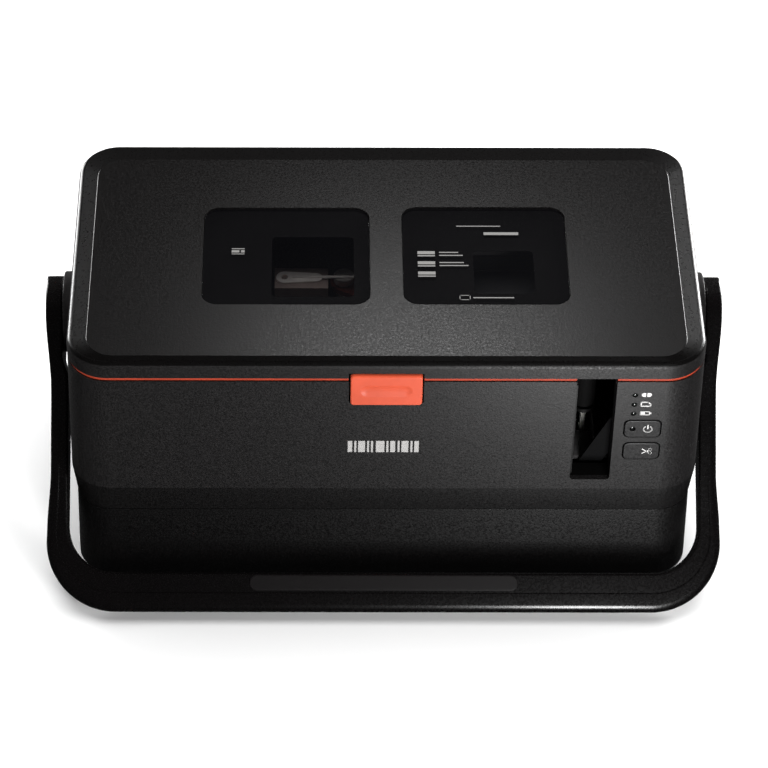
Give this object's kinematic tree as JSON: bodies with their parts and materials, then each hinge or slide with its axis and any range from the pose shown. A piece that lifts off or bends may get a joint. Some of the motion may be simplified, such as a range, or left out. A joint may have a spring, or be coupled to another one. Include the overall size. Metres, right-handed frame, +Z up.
{
  "type": "label maker",
  "caption": "Desktop label and tube printer: lift-up cover with two smoked windows, front tape exit slot, keys, release button and a swinging U handle.",
  "frame": {"origin": "centre of the whole box at the level of the feet, with the handle resting in front", "axes": "+X to the right seen from the front, +Y to the back, +Z up"},
  "size_m": [0.3394, 0.1954, 0.1508],
  "materials": {
    "cover_plastic": "fine grain, satin",
    "case_plastic": "fine grain",
    "base_plastic": "coarse grain",
    "handle_plastic": "satin gloss",
    "grip_pad": "soft matt",
    "accent_orange": "satin",
    "window_smoke": "smoked, polished",
    "window_black": "black print behind the pane",
    "key_black": "satin",
    "lamp_lens": "unlit lens",
    "inner_plastic": "moulded",
    "foot_rubber": "matt",
    "roller_rubber": "ground",
    "steel": "brushed",
    "chrome": "polished",
    "heat_sink": "plain",
    "head_ceramic": "glazed",
    "gear_white": "moulded",
    "pinion_brass": "cut",
    "board_green": "solder mask",
    "chip_black": "moulded",
    "cassette_grey": "satin",
    "tape_white": "film"
  },
  "bodies": {
    "case": {"upper_case": "case_plastic", "hinge_pins": "steel", "accent_strip": "accent_orange", "base_case": "base_plastic", "rubber_feet": "foot_rubber", "case_screws": "steel", "deck": "inner_plastic", "tube_guide": "inner_plastic", "tube_inlet": "inner_plastic", "slot_liner": "inner_plastic", "handle_pivots": "steel", "status_lamps": "lamp_lens", "key_board": "board_green", "main_board": "board_green", "board_components": "chip_black", "power_jack": "chip_black", "data_port": "chip_black", "battery_bay": "inner_plastic", "gear_plate": "steel", "feed_motor": "steel", "pressure_arm_pin": "steel", "tape_head_plate": "heat_sink", "tape_print_head": "head_ceramic", "tape_cassette_case": "cassette_grey", "tape_cassette_lid": "cassette_grey", "tape_roll": "tape_white", "lever_hub": "chrome", "ribbon_cassette": "cassette_grey", "ribbon_reels": "tape_white", "cutter_fixed_blade": "steel", "cutter_motor": "steel"},
    "cover": {"top_cover": "cover_plastic", "window_masks": "window_black", "window_pane_left": "window_smoke", "window_pane_right": "window_smoke", "latch_hooks": "inner_plastic"},
    "handle": {"handle_frame": "handle_plastic", "handle_grip": "grip_pad"},
    "button": {"release_button": "accent_orange", "latch_bar": "inner_plastic"},
    "power_key": {"power_key": "key_black"},
    "cut_key": {"cut_key": "key_black"},
    "drive_gear": {"drive_gear": "gear_white"},
    "feed_pinion": {"feed_pinion": "pinion_brass"},
    "idler_a": {"idler_gear_a": "gear_white"},
    "idler_b": {"idler_gear_b": "gear_white"},
    "ribbon_spindle": {"ribbon_spindle": "gear_white", "ribbon_takeup_spool": "tape_white"},
    "tube_roller": {"tube_roller": "roller_rubber", "tube_roller_gear": "gear_white"},
    "pressure_arm": {"tape_pressure_arm": "inner_plastic"},
    "platen": {"platen_gear": "gear_white", "platen_roller": "roller_rubber"},
    "cutter_blade": {"cutter_moving_blade": "steel"},
    "cutter_pinion": {"cutter_pinion": "pinion_brass"},
    "tube_head": {"tube_head_bracket": "steel", "tube_head_lever": "steel", "tube_print_head": "head_ceramic"},
    "tube_lever": {"tube_release_lever": "accent_orange"},
    "battery": {"battery_pack": "key_black"}
  },
  "joints": [
    {"name": "cover_hinge", "type": "hinge", "parent": "case", "child": "cover", "pos_m": [0, 0.09502, 0.1376], "axis": [-1, 0, 0], "range_deg": [0, 85]},
    {"name": "handle_swing", "type": "hinge", "parent": "case", "child": "handle", "pos_m": [0, 0.01822, 0.106], "axis": [1, 0, 0], "range_deg": [-260, 0]},
    {"name": "button_press", "type": "slide", "parent": "case", "child": "button", "axis": [0, 1, 0], "range_m": [0, 0.0025], "stiffness_N_per_m": 600, "springref_m": -0.002},
    {"name": "power_key_press", "type": "slide", "parent": "case", "child": "power_key", "axis": [0, 1, 0], "range_m": [0, 0.0008], "stiffness_N_per_m": 900, "springref_m": -0.0008},
    {"name": "cut_key_press", "type": "slide", "parent": "case", "child": "cut_key", "axis": [0, 1, 0], "range_m": [0, 0.0008], "stiffness_N_per_m": 900, "springref_m": -0.0008},
    {"name": "drive_gear_spin", "type": "hinge", "parent": "case", "child": "drive_gear", "pos_m": [0.07, -0.02628, 0.0585], "axis": [0, 0, 1], "continuous": true},
    {"name": "feed_pinion_spin", "type": "hinge", "parent": "case", "child": "feed_pinion", "pos_m": [0.07, -0.00028, 0.0585], "axis": [0, 0, 1], "continuous": true},
    {"name": "ribbon_spindle_spin", "type": "hinge", "parent": "case", "child": "ribbon_spindle", "pos_m": [0.04181, -0.01602, 0.0585], "axis": [0, 0, 1], "continuous": true},
    {"name": "idler_a_spin", "type": "hinge", "parent": "case", "child": "idler_a", "pos_m": [0.0173, 0.00455, 0.0585], "axis": [0, 0, 1], "continuous": true},
    {"name": "idler_b_spin", "type": "hinge", "parent": "case", "child": "idler_b", "pos_m": [-0.01547, 0.02749, 0.0585], "axis": [0, 0, 1], "continuous": true},
    {"name": "tube_roller_spin", "type": "hinge", "parent": "case", "child": "tube_roller", "pos_m": [-0.04234, 0.05436, 0.0585], "axis": [0, 0, 1], "continuous": true},
    {"name": "pressure_arm_swing", "type": "hinge", "parent": "case", "child": "pressure_arm", "pos_m": [0.0985, 0.01572, 0.106], "axis": [0, 0, 1], "range_deg": [0, 2.8]},
    {"name": "platen_spin", "type": "hinge", "parent": "pressure_arm", "child": "platen", "pos_m": [0.1, -0.02628, 0.0585], "axis": [0, 0, 1], "continuous": true},
    {"name": "cutter_swing", "type": "hinge", "parent": "case", "child": "cutter_blade", "pos_m": [0.0934, -0.05028, 0.06], "axis": [0, -1, 0], "range_deg": [0, 27]},
    {"name": "cutter_pinion_turn", "type": "hinge", "parent": "case", "child": "cutter_pinion", "pos_m": [0.0934, -0.05028, 0.036], "axis": [0, -1, 0], "range_deg": [-83, 0]},
    {"name": "tube_lever_swing", "type": "hinge", "parent": "case", "child": "tube_lever", "pos_m": [-0.02, 0.03372, 0.111], "axis": [0, 0, 1], "range_deg": [0, 30.4]},
    {"name": "tube_head_slide", "type": "slide", "parent": "case", "child": "tube_head", "axis": [0, -1, 0], "range_m": [0, 0.003]},
    {"name": "battery_slide", "type": "slide", "parent": "case", "child": "battery", "axis": [0, 1, 0], "range_m": [0, 0.075]}
  ],
  "couplings": [
    {"joint": "feed_pinion_spin", "follows": "drive_gear_spin", "ratio": -2.25},
    {"joint": "platen_spin", "follows": "drive_gear_spin", "ratio": -1.5},
    {"joint": "ribbon_spindle_spin", "follows": "drive_gear_spin", "ratio": -1.5},
    {"joint": "idler_a_spin", "follows": "drive_gear_spin", "ratio": 0.9},
    {"joint": "idler_b_spin", "follows": "drive_gear_spin", "ratio": -0.9},
    {"joint": "tube_roller_spin", "follows": "drive_gear_spin", "ratio": 1},
    {"joint": "pressure_arm_swing", "follows": "cover_hinge", "ratio": 0.031765},
    {"joint": "cutter_pinion_turn", "follows": "cutter_swing", "ratio": -3},
    {"joint": "tube_lever_swing", "follows": "tube_head_slide", "rad_per_m": 174.53}
  ]
}
